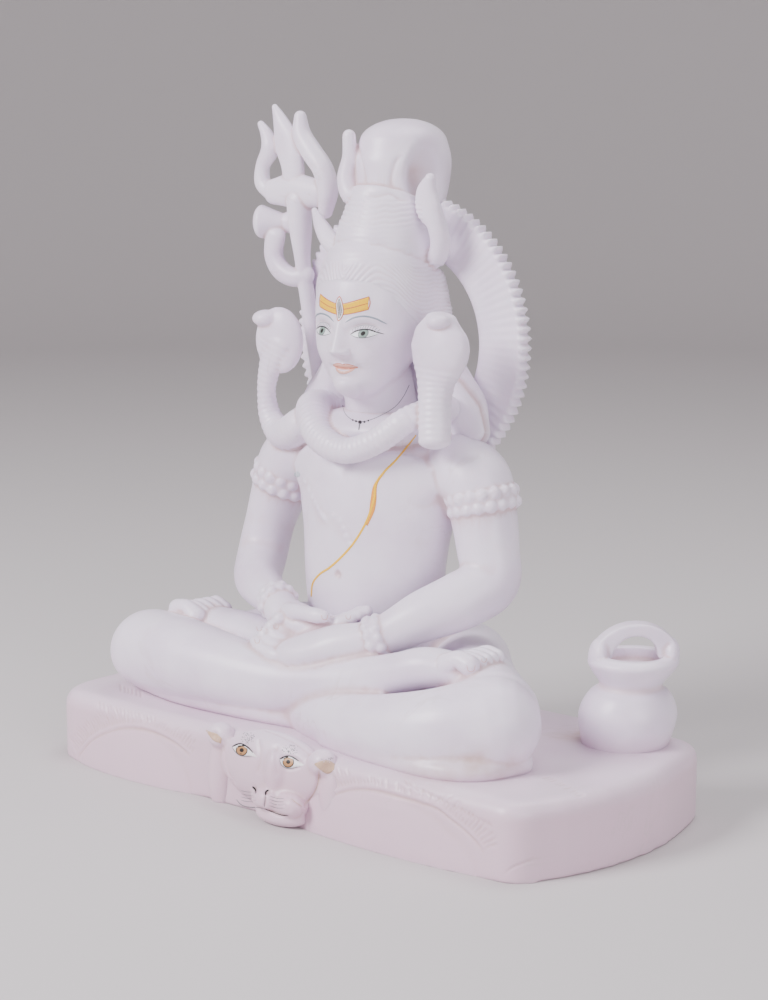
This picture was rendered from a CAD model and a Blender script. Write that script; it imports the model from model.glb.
import math
import random
import bpy
import bmesh
import numpy as np
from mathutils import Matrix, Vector
from mathutils.bvhtree import BVHTree


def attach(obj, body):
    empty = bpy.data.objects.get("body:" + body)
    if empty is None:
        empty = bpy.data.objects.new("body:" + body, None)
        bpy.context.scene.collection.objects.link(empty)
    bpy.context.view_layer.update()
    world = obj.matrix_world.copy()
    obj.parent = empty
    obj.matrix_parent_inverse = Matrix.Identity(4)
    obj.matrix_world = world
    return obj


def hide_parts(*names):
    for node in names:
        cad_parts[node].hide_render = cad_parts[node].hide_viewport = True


# White marble figure of Shiva on its rock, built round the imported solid.
# Lengths in the dictionaries are millimetres from the figure's axis and from the rock's top.
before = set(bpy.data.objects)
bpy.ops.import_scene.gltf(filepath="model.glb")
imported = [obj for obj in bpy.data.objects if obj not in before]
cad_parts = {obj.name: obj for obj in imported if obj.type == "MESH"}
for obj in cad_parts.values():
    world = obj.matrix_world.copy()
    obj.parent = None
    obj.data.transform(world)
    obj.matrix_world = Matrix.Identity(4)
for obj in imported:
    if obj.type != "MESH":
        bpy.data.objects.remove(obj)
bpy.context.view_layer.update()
random.seed(7)
world = bpy.context.scene

rock = {"top": 66.0, "length": 606.0, "depth": 256.0, "back": 88.0, "leftReach": 328.0, "skew": 20.0}
view = {
    "place": (1332.6, -1581.2, 620.6), "turn": 40.0, "pitch": 10.0, "pixelFocus": 2300.0,
    "width": 768, "height": 1000,
}


# Shapes

def curveAt(points, places):
    # a smooth line through every point; places run from 0 to 1
    points = np.asarray(points, float)
    last = len(points) - 1
    ends = np.vstack([2 * points[0] - points[1], points, 2 * points[-1] - points[-2]])
    found = []
    for place in places:
        reach = min(max(place, 0.0), 1.0) * last
        index = min(int(reach), last - 1)
        w = reach - index
        a, b, c, d = ends[index:index + 4]
        g1 = np.linalg.norm(c - b) ** 0.5
        g1 = g1 if g1 > 1e-4 else 1.0
        g0, g2 = np.linalg.norm(b - a) ** 0.5, np.linalg.norm(d - c) ** 0.5
        g0, g2 = (g0 if g0 > 1e-4 else g1), (g2 if g2 > 1e-4 else g1)
        m1 = ((b - a) / g0 - (c - a) / (g0 + g1) + (c - b) / g1) * g1
        m2 = ((c - b) / g1 - (d - b) / (g1 + g2) + (d - c) / g2) * g1
        found.append(b + m1 * w + (3 * (c - b) - 2 * m1 - m2) * w ** 2
                     + (2 * (b - c) + m1 + m2) * w ** 3)
    return np.array(found)


def smoothTrack(points, count=24):
    return curveAt(points, np.linspace(0, 1, count))


def walkedAlong(track):
    # the length walked at every point of a track
    return np.concatenate([[0], np.cumsum(np.linalg.norm(np.diff(track, axis=0), axis=1))])


upright = {"rise": (0, -1, 0)}  # for limbs that stand up


def girthsOf(stations):
    # half width and half rise at every station
    return [(s[3], s[4] if len(s) > 4 else s[3]) for s in stations]


def addLimb(bm, stations, rise=(0, 0, 1), dome=1.0, sides=28, perStation=7, domeRings=5):
    # a round limb through stations (x, y, z, half width, half rise), with domed ends
    rings = perStation * (len(stations) - 1)
    steps = rings + 2 * domeRings
    along = np.linspace(0, 1, rings + 1)
    spine = [s[:3] for s in stations]
    centres = curveAt(spine, along)
    ahead = curveAt(spine, along + 1e-3) - curveAt(spine, along - 1e-3)
    girths = curveAt(girthsOf(stations), along)
    ball = bmesh.ops.create_uvsphere(bm, u_segments=sides, v_segments=steps, radius=1)["verts"]
    upward = np.array(rise, float)
    for vert in ball:
        ring = round(math.acos(max(-1.0, min(1.0, vert.co.z))) / math.pi * steps)
        around = math.atan2(vert.co.y, vert.co.x)
        index = min(max(ring - domeRings, 0), rings)
        past = ring - domeRings if ring < domeRings else max(ring - domeRings - rings, 0)
        lean = past / domeRings * math.pi / 2
        forward = ahead[index] / np.linalg.norm(ahead[index])
        high = upward - forward * (upward @ forward)
        high /= np.linalg.norm(high)
        side = np.cross(high, forward)
        wide, tall = girths[index]
        vert.co = Vector(
            centres[index] + forward * math.sin(lean) * min(wide, tall) * dome
            + side * math.cos(around) * math.cos(lean) * wide
            + high * math.sin(around) * math.cos(lean) * tall
        )
    return ball


def turned(verts, degrees, lean=0.0, leanFrom=0.0):
    # turns these corners about the upright axis and leans them over from a height up
    c, s = math.cos(math.radians(degrees)), math.sin(math.radians(degrees))
    for vert in verts:
        x, y, z = vert.co
        vert.co = (c * x - s * y + lean * (z - leanFrom), s * x + c * y, z)


def addLump(bm, place, radii, turn=0.0, sides=28):
    # a rounded swelling, turned about the upright axis
    ball = bmesh.ops.create_uvsphere(bm, u_segments=sides, v_segments=sides // 2, radius=1)["verts"]
    bmesh.ops.scale(bm, vec=radii, verts=ball)
    turned(ball, turn)
    bmesh.ops.translate(bm, vec=place, verts=ball)


def spun(bm, profile, axis, steps, closed=False):
    # a profile turned all the way round an axis
    verts = [bm.verts.new(corner) for corner in profile]
    following = verts[1:] + verts[:1] if closed else verts[1:]
    edges = [bm.edges.new(pair) for pair in zip(verts, following)]
    bmesh.ops.spin(bm, geom=verts + edges, cent=(0, 0, 0), axis=axis, angle=2 * math.pi, steps=steps,
                   use_merge=True)


def extruded(bm, patch, way):
    # draws a face out this way and gives its new corners
    grown = bmesh.ops.extrude_face_region(bm, geom=[patch])["geom"]
    moved = [v for v in grown if isinstance(v, bmesh.types.BMVert)]
    bmesh.ops.translate(bm, vec=way, verts=moved)
    return moved


def placed(name, data):
    # a new object in the scene
    obj = bpy.data.objects.new(name, data)
    world.collection.objects.link(obj)
    return obj


def meshFrom(bm, name, *others, turnOut=True):
    # the lumps in metres above the ground, together with meshes made before
    if turnOut:
        bmesh.ops.recalc_face_normals(bm, faces=bm.faces)
    bmesh.ops.translate(bm, vec=(0, 0, rock["top"]), verts=bm.verts)
    bmesh.ops.scale(bm, vec=(0.001, 0.001, 0.001), verts=bm.verts)
    for other in others:
        bm.from_mesh(other)
    mesh = bpy.data.meshes.new(name)
    bm.to_mesh(mesh)
    bm.free()
    return mesh


def throughModifiers(mesh, *steps):
    # the mesh after these modifiers, as a new mesh
    obj = placed("working", mesh)
    for kind, settings in steps:
        step = obj.modifiers.new(kind.lower(), kind)
        for key, value in settings.items():
            setattr(step, key, value)
    made = bpy.data.meshes.new_from_object(obj.evaluated_get(bpy.context.evaluated_depsgraph_get()))
    made.name = mesh.name
    bpy.data.objects.remove(obj)
    return made


def fused(bm, name, voxel, rounds, *others):
    # all the lumps as one skin, eased over its creases
    return throughModifiers(
        meshFrom(bm, name, *others),
        ("REMESH", {"mode": "VOXEL", "voxel_size": voxel / 1000}),
        ("SMOOTH", {"factor": 0.5, "iterations": rounds}),
    )


# Carving of a fused skin: every line and dimple adds to one depth for each corner

def cornersOf(mesh):
    # places in metres and normals of a mesh's corners
    found = []
    for name in ("co", "normal"):
        values = np.empty(len(mesh.vertices) * 3, np.float32)
        mesh.vertices.foreach_get(name, values)
        found.append(values.reshape(-1, 3))
    return found


def readSkin(mesh):
    places, normals = cornersOf(mesh)
    places = places * 1000
    places[:, 2] -= rock["top"]
    return {"mesh": mesh, "places": places, "normals": normals, "lift": np.zeros(len(places), np.float32)}


def writeSkin(skin):
    moved = skin["places"] + skin["normals"] * skin["lift"][:, None]
    moved[:, 2] = np.maximum(moved[:, 2] + rock["top"], 0)
    skin["mesh"].vertices.foreach_set("co", (moved / 1000).ravel())
    skin["mesh"].update()


def carveLine(skin, track, width, height, fade=0.25):
    # a rounded ridge along a track, or a groove where the height is negative
    track = np.asarray(track, float)
    reach = 2.4 * width
    places = skin["places"]
    inside = ((places > track.min(0) - reach) & (places < track.max(0) + reach)).all(1)
    near = np.flatnonzero(inside)
    if not len(near):
        return
    spots = places[near]
    nearest = np.full(len(near), 1e9)
    along = np.zeros(len(near))
    lengths = np.linalg.norm(np.diff(track, axis=0), axis=1)
    walked = 0.0
    for start, end, length in zip(track[:-1], track[1:], lengths):
        ab = end - start
        t = np.clip(((spots - start) @ ab) / max(ab @ ab, 1e-9), 0, 1)
        gap = np.linalg.norm(spots - start - t[:, None] * ab, axis=1)
        closer = gap < nearest
        nearest[closer] = gap[closer]
        along[closer] = (walked + t[closer] * length) / max(lengths.sum(), 1e-9)
        walked += length
    taper = np.clip(np.minimum(along, 1 - along) / fade, 0, 1) if fade else 1.0
    skin["lift"][near] += height * np.exp(-(nearest / width) ** 2) * taper


def carveDots(skin, dots, radius, height):
    for place in dots:
        gap = np.linalg.norm(skin["places"] - np.asarray(place, float), axis=1)
        skin["lift"] += height * np.exp(-(gap / radius) ** 2)


def ramp(values, low, high):
    t = np.clip((values - low) / (high - low), 0, 1)
    return t * t * (3 - 2 * t)


def treeOf(*meshes):
    bm = bmesh.new()
    for mesh in meshes:
        bm.from_mesh(mesh)
    bmesh.ops.scale(bm, vec=(1000, 1000, 1000), verts=bm.verts)
    bmesh.ops.translate(bm, vec=(0, 0, -rock["top"]), verts=bm.verts)
    tree = BVHTree.FromBMesh(bm)
    bm.free()
    return tree


# Ways to reach a skin: a spot gives the place that it meets and the way out of the stone there

def lookingWay():
    # the way that the photograph looks
    turn, pitch = math.radians(view["turn"]), math.radians(view["pitch"])
    return Vector((-math.sin(turn) * math.cos(pitch), math.cos(turn) * math.cos(pitch), -math.sin(pitch)))


def seenFrom(tree):
    # spots are pixels of the photograph
    turn, forward = math.radians(view["turn"]), lookingWay()
    right = Vector((math.cos(turn), math.sin(turn), 0))
    up = right.cross(forward)
    eye = Vector(view["place"]) - Vector((0, 0, rock["top"]))

    def cast(spot):
        across, down = spot[0] - view["width"] / 2, spot[1] - view["height"] / 2
        line = forward + (right * float(across) - up * float(down)) / view["pixelFocus"]
        return tree.ray_cast(eye, line.normalized())[:2]
    return cast


def straightOn(tree, turnedBy=0.0):
    # spots are millimetres across and up, seen from the front
    turn = math.radians(turnedBy)
    side, inward = Vector((math.cos(turn), math.sin(turn), 0)), Vector((-math.sin(turn), math.cos(turn), 0))

    def cast(spot):
        start = side * float(spot[0]) - inward * 300 + Vector((0, 0, float(spot[1])))
        return tree.ray_cast(start, inward)[:2]
    return cast


def laid(cast, spots, count=0):
    # a track of spots as places on the skin
    spots = smoothTrack(spots, count) if count else spots
    hits = [cast(spot)[0] for spot in spots]
    return [tuple(hit) for hit in hits if hit is not None]


def hollows(mesh, rounds, scale):
    # how far each corner lies below the smoothed skin round it, from 0 to 1
    places, normals = cornersOf(mesh)
    count = len(places)
    edges = np.empty(len(mesh.edges) * 2, np.int32)
    mesh.edges.foreach_get("vertices", edges)
    a, b = edges[0::2], edges[1::2]
    ways = np.maximum(np.bincount(a, minlength=count) + np.bincount(b, minlength=count), 1)
    smooth = places.astype(float)
    for _ in range(rounds):
        mixed = np.empty_like(smooth)
        for axis in range(3):
            line = smooth[:, axis]
            mixed[:, axis] = (np.bincount(a, line[b], count) + np.bincount(b, line[a], count)) / ways
        smooth = mixed
    below = ((smooth - places) * normals).sum(1) * 1000
    return np.clip(below / scale, 0, 1).astype(np.float32)


def finishPiece(name, mesh, settings):
    # thins the skin to its limit of triangles and stores where it is hollow or stained
    limit, hollowScale = settings["limit"], settings.get("hollowScale", 0.9)
    count = sum(len(face.vertices) - 2 for face in mesh.polygons)
    steps = [("DECIMATE", {"ratio": min(1.0, limit / count)})] if count > limit else []
    steps.append(("TRIANGULATE", {}))
    made = throughModifiers(mesh, *steps)
    made.name = name
    made.shade_smooth()
    made.attributes.new("hollow", "FLOAT", "POINT").data.foreach_set("value", hollows(made, 12, hollowScale))
    skin = readSkin(made)
    mark = np.zeros(len(made.vertices), np.float32)
    for place, radius, strength in settings.get("stains", ()):
        gap = np.linalg.norm((skin["places"] - np.array(place, float)) / np.array(radius, float), axis=1)
        mark = np.maximum(mark, strength * np.exp(-gap ** 2))
    made.attributes.new("stain", "FLOAT", "POINT").data.foreach_set("value", mark.astype(np.float32))
    made.materials.clear()
    made.materials.append(stone)
    obj = placed(name, made)
    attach(obj, "root")
    print(name, count, "to", len(made.polygons), "triangles", flush=True)
    return obj


# Colours and finishes

def colour(hexCode):
    parts = [int(hexCode[i:i + 2], 16) / 255 for i in (1, 3, 5)]
    return (*[c / 12.92 if c <= 0.04045 else ((c + 0.055) / 1.055) ** 2.4 for c in parts], 1)


def addNode(tree, kind, inputs=None, **settings):
    node = tree.nodes.new(kind)
    for key, value in settings.items():
        setattr(node, key, value)
    for key, value in (inputs or {}).items():
        if isinstance(value, bpy.types.NodeSocket):
            tree.links.new(value, node.inputs[key])
        else:
            node.inputs[key].default_value = value
    return node


def newFinish(name, base, roughness):
    material = bpy.data.materials.new(name)
    material.use_nodes = True
    tree = material.node_tree
    shader = tree.nodes["Principled BSDF"]
    shader.inputs["Base Color"].default_value = base
    shader.inputs["Roughness"].default_value = roughness
    return material, tree, shader


marble = {
    "light": "#F1E7F5", "cloud": "#E6D8EA", "cloudSize": 70, "vein": "#CDBCC0", "veinSize": 160,
    "crease": "#D6B9BA", "stain": "#B98F68", "low": "#DEBECD", "lowFrom": 50, "lowTo": 84,
    "roughness": 0.34, "grain": 2.2, "bump": 0.06, "refraction": 1.49, "sinks": 0.35, "sinkDepth": 0.006,
}


def polishedMarble(name):
    # Polished white Makrana marble: fine translucent grain, faint clouds and hairline veins.
    # Light sinks a few millimetres in, which gives the eye its soft, waxy look.
    material, tree, shader = newFinish(name, colour(marble["light"]), marble["roughness"])
    place = addNode(tree, "ShaderNodeTexCoord").outputs["Object"]
    clouds = addNode(tree, "ShaderNodeTexNoise", {
        "Vector": place, "Scale": 1000 / marble["cloudSize"], "Detail": 4.0, "Roughness": 0.55,
    })
    soft = addNode(tree, "ShaderNodeMapRange", {
        "Value": clouds.outputs["Fac"], "From Min": 0.42, "From Max": 0.7, "To Max": 1.0,
    })
    separate = addNode(tree, "ShaderNodeSeparateXYZ", {"Vector": place})
    height = addNode(tree, "ShaderNodeMapRange", {
        "Value": separate.outputs["Z"], "From Min": marble["lowFrom"] / 1000,
        "From Max": marble["lowTo"] / 1000, "To Min": 0.85, "To Max": 0.0,
    })
    bent = addNode(tree, "ShaderNodeTexNoise", {
        "Vector": place, "Scale": 1000 / marble["veinSize"], "Detail": 5.0, "Roughness": 0.62,
        "Distortion": 0.9,
    })
    middle = addNode(tree, "ShaderNodeMath", {0: bent.outputs["Fac"], 1: 0.5}, operation="SUBTRACT")
    near = addNode(tree, "ShaderNodeMath", {0: middle.outputs["Value"]}, operation="ABSOLUTE")
    line = addNode(tree, "ShaderNodeMapRange", {
        "Value": near.outputs["Value"], "From Min": 0.0, "From Max": 0.012, "To Min": 0.5, "To Max": 0.0,
    })
    patches = addNode(tree, "ShaderNodeTexNoise", {"Vector": place, "Scale": 9.0, "Detail": 2.0})
    sparse = addNode(tree, "ShaderNodeMapRange", {
        "Value": patches.outputs["Fac"], "From Min": 0.55, "From Max": 0.72,
    })
    veins = addNode(tree, "ShaderNodeMath", {
        0: line.outputs["Result"], 1: sparse.outputs["Result"],
    }, operation="MULTIPLY")
    hollow = addNode(tree, "ShaderNodeAttribute", attribute_name="hollow")
    dusty = addNode(tree, "ShaderNodeMath", {0: hollow.outputs["Fac"], 1: 0.75}, operation="MULTIPLY")
    mark = addNode(tree, "ShaderNodeAttribute", attribute_name="stain")
    blotch = addNode(tree, "ShaderNodeTexNoise", {"Vector": place, "Scale": 60.0, "Detail": 4.0})
    uneven = addNode(tree, "ShaderNodeMapRange", {
        "Value": blotch.outputs["Fac"], "From Min": 0.35, "From Max": 0.65, "To Min": 0.25, "To Max": 1.0,
    })
    stained = addNode(tree, "ShaderNodeMath", {
        0: mark.outputs["Fac"], 1: uneven.outputs["Result"],
    }, operation="MULTIPLY")
    tone = colour(marble["light"])
    for share, key in (
        (soft.outputs["Result"], "cloud"), (height.outputs["Result"], "low"),
        (veins.outputs["Value"], "vein"), (dusty.outputs["Value"], "crease"),
        (stained.outputs["Value"], "stain"),
    ):
        inputs = {"Factor": share, "A": tone, "B": colour(marble[key])}
        tone = addNode(tree, "ShaderNodeMix", inputs, data_type="RGBA").outputs["Result"]
    tree.links.new(tone, shader.inputs["Base Color"])
    grain = addNode(tree, "ShaderNodeTexNoise", {
        "Vector": place, "Scale": 1000 / marble["grain"], "Detail": 3.0,
    })
    rub = addNode(tree, "ShaderNodeMapRange", {
        "Value": grain.outputs["Fac"],
        "To Min": marble["roughness"] - 0.05, "To Max": marble["roughness"] + 0.08,
    })
    tree.links.new(rub.outputs["Result"], shader.inputs["Roughness"])
    bump = addNode(tree, "ShaderNodeBump", {
        "Height": grain.outputs["Fac"], "Strength": marble["bump"], "Distance": 0.0004,
    })
    tree.links.new(bump.outputs["Normal"], shader.inputs["Normal"])
    shader.inputs["IOR"].default_value = marble["refraction"]
    shader.inputs["Subsurface Weight"].default_value = marble["sinks"]
    shader.inputs["Subsurface Radius"].default_value = (1.0, 0.82, 0.85)
    shader.inputs["Subsurface Scale"].default_value = marble["sinkDepth"]
    return material


def enamel(name, hexCode, roughness=0.38):
    # Oil paint brushed on the polished stone: flat colour, slightly uneven brush tone
    material, tree, shader = newFinish(name, colour(hexCode), roughness)
    place = addNode(tree, "ShaderNodeTexCoord").outputs["Object"]
    brush = addNode(tree, "ShaderNodeTexNoise", {"Vector": place, "Scale": 700.0, "Detail": 2.0})
    tone = addNode(tree, "ShaderNodeHueSaturation", {
        "Color": colour(hexCode),
        "Value": addNode(tree, "ShaderNodeMapRange", {
            "Value": brush.outputs["Fac"], "To Min": 0.82, "To Max": 1.16,
        }).outputs["Result"],
    })
    tree.links.new(tone.outputs["Color"], shader.inputs["Base Color"])
    return material


stone = polishedMarble("polished_marble")
paints = {key: enamel("paint_" + name, code) for key, name, code in (
    ("black", "black", "#23201F"), ("soot", "soft_grey", "#77777A"), ("brow", "blue_grey", "#8D98A2"),
    ("pale", "pale_blue_grey", "#C3CCD4"), ("eyeWhite", "eye_white", "#E9EBEE"),
    ("iris", "grey_green", "#8BA096"), ("amber", "amber", "#B5875A"), ("tan", "tan", "#D2B196"),
    ("lips", "lip_coral", "#E8B2A2"), ("red", "red", "#CC6440"), ("yellow", "yellow", "#FFC91E"),
    ("orange", "orange", "#F4A23A"), ("white", "white", "#F1ECEE"), ("nail", "nail_pink", "#DDB3AC"),
)}
print("finishes ready", flush=True)

# The body: trunk, arms and crossed legs
body = {
    "voxel": 2.2, "ease": 9, "fineVoxel": 1.25, "fineEase": 3, "limit": 192000,
    # flatter ends keep the back of the seat over the rock, as in the solid
    "flatEnds": {"trunk": 0.2, "leftThigh": 0.65},
    "rightThigh": [
        (-60, 40, 40, 46, 42), (-112, -4, 38, 46, 39), (-158, -50, 33, 42, 33), (-192, -90, 34, 39, 35),
    ],
    "rightShinAndFoot": [
        (-198, -98, 38, 41, 38), (-139, -112, 40, 36, 38), (-61, -114, 38, 29, 31), (-3, -110, 38, 23, 26),
        (60, -104, 50, 19, 21), (108, -100, 65, 17, 18), (130, -95, 72, 18, 18), (150, -86, 73, 20, 15),
        (168, -78, 70, 20, 11),
    ],
    "leftThigh": [(60, 54, 36, 42, 40), (100, 8, 38, 41, 40), (150, -44, 40, 40, 40), (202, -90, 39, 40, 41)],
    "leftShin": [
        (210, -102, 38, 41, 41), (172, -128, 30, 34, 37), (110, -132, 22, 29, 30), (50, -120, 16, 24, 25),
        (-2, -104, 14, 18, 20),
    ],
    "leftFoot": [
        (-78, -62, 56, 20, 20), (-108, -60, 61, 22, 18), (-140, -60, 65, 22, 14), (-160, -60, 67, 21, 11),
    ],
    "skirt": [(60, -122, 6, 26, 14), (130, -134, 6, 26, 14), (200, -128, 6, 30, 14), (222, -88, 6, 24, 14)],
    "bedOne": [(-192, -88, 8, 32, 12), (-139, -104, 8, 28, 12), (-61, -108, 8, 23, 12), (0, -104, 8, 20, 12)],
    "bedTwo": [(-60, 42, 8, 42, 12), (-112, -2, 8, 42, 12), (-158, -48, 8, 38, 12), (-188, -84, 8, 32, 12)],
    "bedThree": [(60, 52, 8, 40, 12), (100, 8, 8, 40, 12), (150, -44, 8, 38, 12), (196, -86, 8, 34, 12)],
    "trunk": [
        (0, 34, 10, 92, 58), (0, 20, 50, 84, 57), (0, 2, 88, 74, 55), (0, -6, 122, 72, 52),
        (0, -4, 160, 76, 52), (0, 0, 194, 84, 54), (0, 4, 218, 88, 52), (0, 8, 240, 78, 42),
        (0, 8, 260, 44, 34), (0, 3, 284, 32, 31), (0, -4, 306, 31, 31),
    ],
    "leftArm": [
        (84, 10, 226, 32), (105, 8, 218, 32), (114, 8, 190, 30), (122, 5, 158, 28), (130, -2, 132, 26),
        (118, -28, 118, 26), (96, -54, 105, 23), (66, -82, 86, 17), (30, -98, 78, 16, 21),
        (4, -104, 70, 14, 22), (-16, -106, 66, 11, 19),
    ],
    "rightArm": [
        (-88, 10, 226, 32), (-112, 8, 216, 32), (-127, 7, 188, 28), (-139, 3, 152, 24), (-140, -6, 124, 24),
        (-124, -30, 107, 23), (-94, -52, 101, 19), (-62, -70, 98, 15), (-42, -82, 92, 15, 18),
        (-20, -82, 88, 13, 20), (2, -76, 86, 10, 18),
    ],
    "neckCoil": [
        (-60, 30, 268, 12), (-70, -4, 272, 15), (-50, -34, 268, 16), (-20, -54, 250, 14), (14, -60, 244, 12),
        (46, -56, 256, 12), (68, -44, 274, 12), (78, -10, 282, 12), (66, 24, 276, 12),
    ],
    "breast": {"place": (42, -33, 214), "radii": (44, 12, 29), "turn": 20},
    # bands of beads: middle, the way the limb runs, radius, beads in a row and their size
    "bands": (
        ((113.5, 8, 201), (-0.25, 0, 1), 28.6, 17, 6.2), ((-122, 8, 198), (0.4, 0, 1), 27.6, 16, 6.2),
        ((66, -82, 86), (0.79, 0.52, 0.32), 16.8, 12, 4.8),
        ((-62, -70, 98), (-0.88, 0.46, 0.12), 15.2, 11, 4.8),
    ),
    "beads": {"strapHalf": 1.3, "strapRise": 0.55, "rowGap": 1.75, "sizes": (0.9, 1.08)},
    "fineSides": {"sides": 16, "perStation": 5},
    "thumb": [
        (-30, -90, 97, 8), (-18, -94, 99, 7.6), (-4, -96, 100, 6.6), (8, -96, 100, 7), (16, -95, 100, 5.6),
    ],
    # first finger of each hand, and how far each next finger's station is from it
    "fingers": (
        (((-12, -118, 62, 6.6), (0, 8, 3)), ((-23, -119, 64, 6.3), (0, 7, 4.5)),
         ((-34, -118, 66, 6.2), (0, 6, 6)), ((-43, -116, 69, 5.6), (0, 7.5, 6.6)),
         ((-50, -113, 71, 5.4), (6, 4, 7))),
        (((4, -66, 86, 6.6), (0, -7, 0)), ((13, -65, 91, 6.2), (0, -7, -0.5)),
         ((22, -64, 95, 6.2), (0, -7, -1)), ((31, -64, 100, 5.6), (-2, -6.5, -2)),
         ((40, -64, 103, 5.4), (-4, -6, -3))),
    ),
    # the big toe of each foot, without its extra girth
    "toes": {
        "gap": 9.5, "bigGap": 2, "bigger": 2.6,
        "right": ((156, -96, 79, 7), (168, -95.5, 85, 5.6), (179, -95, 82, 6.6)),
        "left": ((-156, -82, 73, 6.8), (-168, -81.5, 79, 5.4), (-180, -81, 77, 6.4)),
    },
    "navel": (337.2, 574.4), "nipples": ((297.2, 474.4), (430, 470)),
    "beadsOnChest": (
        ((296, 464), (306, 484), (314, 500), (320, 512), (325, 519)),
        ((333, 515), (341.7, 524), (345, 534), (350, 545)),
    ),
    "stains": (
        ((186, -156, 6), (34, 10, 12), 0.35), ((215, -139, 14), (26, 14, 14), 0.5),
        ((236, -118, 10), (18, 20, 14), 0.3),
    ),
}


def addBand(bm, middle, along, radius, count, bead):
    # a strap round a limb with two rows of half sunk beads
    beads = body["beads"]
    middle, forward = Vector(middle), Vector(along).normalized()
    side = forward.orthogonal().normalized()
    high = forward.cross(side)
    half = forward * bead * beads["strapHalf"]
    ends = [(*(middle + half * way), radius + beads["strapRise"] * bead) for way in (-1, 1)]
    addLimb(bm, ends, dome=0.12, sides=40, **upright)
    for row in (0, 1):
        for place in range(count):
            turn = 2 * math.pi * (place + 0.5 * row) / count
            reach = side * math.cos(turn) + high * math.sin(turn)
            centre = middle + reach * radius + forward * bead * beads["rowGap"] * (row - 0.5)
            size = bead * random.uniform(*beads["sizes"])
            ball = bmesh.ops.create_icosphere(bm, subdivisions=2, radius=size)["verts"]
            bmesh.ops.translate(bm, vec=centre, verts=ball)


def fingerStations(finger, number, swell=0.5):
    # one finger of a hand; its knuckles stand a little proud of the joints between them
    return [
        (x + a * number, y + b * number, z + c * number, w + (swell if i % 2 else 0))
        for i, ((x, y, z, w), (a, b, c)) in enumerate(finger)
    ]


def buildBody():
    bm = bmesh.new()
    addLimb(bm, body["trunk"], dome=body["flatEnds"]["trunk"], sides=48, **upright)
    x, y, z = body["breast"]["place"]
    for side in (-1, 1):
        addLump(bm, (side * x, y, z), body["breast"]["radii"], side * body["breast"]["turn"])
    for name in ("rightThigh", "rightShinAndFoot", "leftThigh", "leftShin", "leftFoot", "skirt",
                 "bedOne", "bedTwo", "bedThree"):
        addLimb(bm, body[name], dome=body["flatEnds"].get(name, 1.0))
    addLimb(bm, body["leftArm"], rise=(-0.72, 0.64, 0))
    addLimb(bm, body["rightArm"], rise=(0.6, 0.8, 0))
    masses = fused(bm, "masses", body["voxel"], body["ease"])
    print("body masses", flush=True)
    bm = bmesh.new()
    addLimb(bm, body["neckCoil"])
    for band in body["bands"]:
        addBand(bm, *band)
    fine = body["fineSides"]
    addLimb(bm, body["thumb"], **fine)
    for number in range(4):
        for finger in body["fingers"]:
            addLimb(bm, fingerStations(finger, number), **fine)
    toes = body["toes"]
    for toe in range(5):
        bigger = toes["bigger"] if toe == 0 else 0
        step = toes["gap"] * toe + toes["bigGap"] * min(toe, 1)
        for stations, drawn in ((toes["right"], 3 * min(toe, 1) - toe), (toes["left"], 2 * toe)):
            shifts = (0, 0, drawn)  # the tips of the toes lie on a slant
            addLimb(bm, [(x + shift, y + step, z, w + bigger)
                         for (x, y, z, w), shift in zip(stations, shifts)], **fine)
    addCobras(bm)
    whole = fused(bm, "body", body["fineVoxel"], body["fineEase"], masses)
    print("body fused", flush=True)
    carveBody(whole)
    return whole


def carveBody(mesh):
    skin = readSkin(mesh)
    cast = seenFrom(treeOf(mesh))
    navel = laid(cast, [body["navel"]])
    carveDots(skin, navel, 3.0, -2.6)
    carveDots(skin, navel, 9.0, -0.8)
    carveDots(skin, laid(cast, body["nipples"]), 3.6, 0.9)
    for track in body["beadsOnChest"]:
        # a low string of beads on the chest, one bead every six pixels
        carveDots(skin, laid(cast, track, int(walkedAlong(track)[-1] / 6)), 2.6, 1.5)
    for stations in (body["neckCoil"], cobras["leftBody"][3:], cobras["rightBody"]):
        carveScales(skin, stations, cobras["scale"], cobras["scaleDepth"])
    writeSkin(skin)


def carveScales(skin, stations, spacing, depth):
    # low grooves across a serpent's body
    count = 300
    spine = smoothTrack([s[:3] for s in stations], count).astype(np.float32)
    girth = smoothTrack(girthsOf(stations), count).max(1)
    walked = walkedAlong(spine)
    reach = 1.2 * girth.max()
    places = skin["places"]
    near = np.flatnonzero(((places > spine.min(0) - reach) & (places < spine.max(0) + reach)).all(1))
    for part in np.array_split(near, len(near) // 5000 + 1):
        gaps = np.linalg.norm(places[part][:, None] - spine[None], axis=2)
        nearest = gaps.argmin(1)
        out = gaps[np.arange(len(part)), nearest] / girth[nearest]
        wave = np.cos(2 * math.pi * walked[nearest] / spacing)
        skin["lift"][part] += depth * (wave - 1) / 2 * (1 - ramp(out, 1.0, 1.2))


# The cobras: one on each shoulder, joined by the coil round the neck
cobras = {
    "scale": 5.5, "scaleDepth": 0.6,
    "rightBody": [
        (-109, -16, 330, 18, 9), (-121, -16, 300, 11, 9), (-126, -14, 280, 9), (-121, -14, 257, 11),
        (-102, -18, 244, 15), (-68, -28, 256, 17),
    ],
    "leftBody": [
        (94, -28, 364, 15, 11), (93, -28, 352, 26, 14), (93, -28, 338, 30, 16), (91, -28, 322, 26, 15),
        (90, -30, 306, 18, 14), (92, -34, 286, 15, 14), (97, -40, 258, 15, 14),
    ],
    # hood, heads and the swelling below the coil: middle, radii, turn and sides
    "lumps": (
        ((-109, -14, 330), (25, 10, 31), 12, 40), ((-122, -18, 350), (13, 13, 8)),
        ((98, -36, 362), (11, 11, 7)), ((0, -8, 258), (66, 42, 18), 0, 40),
    ),
}


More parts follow.
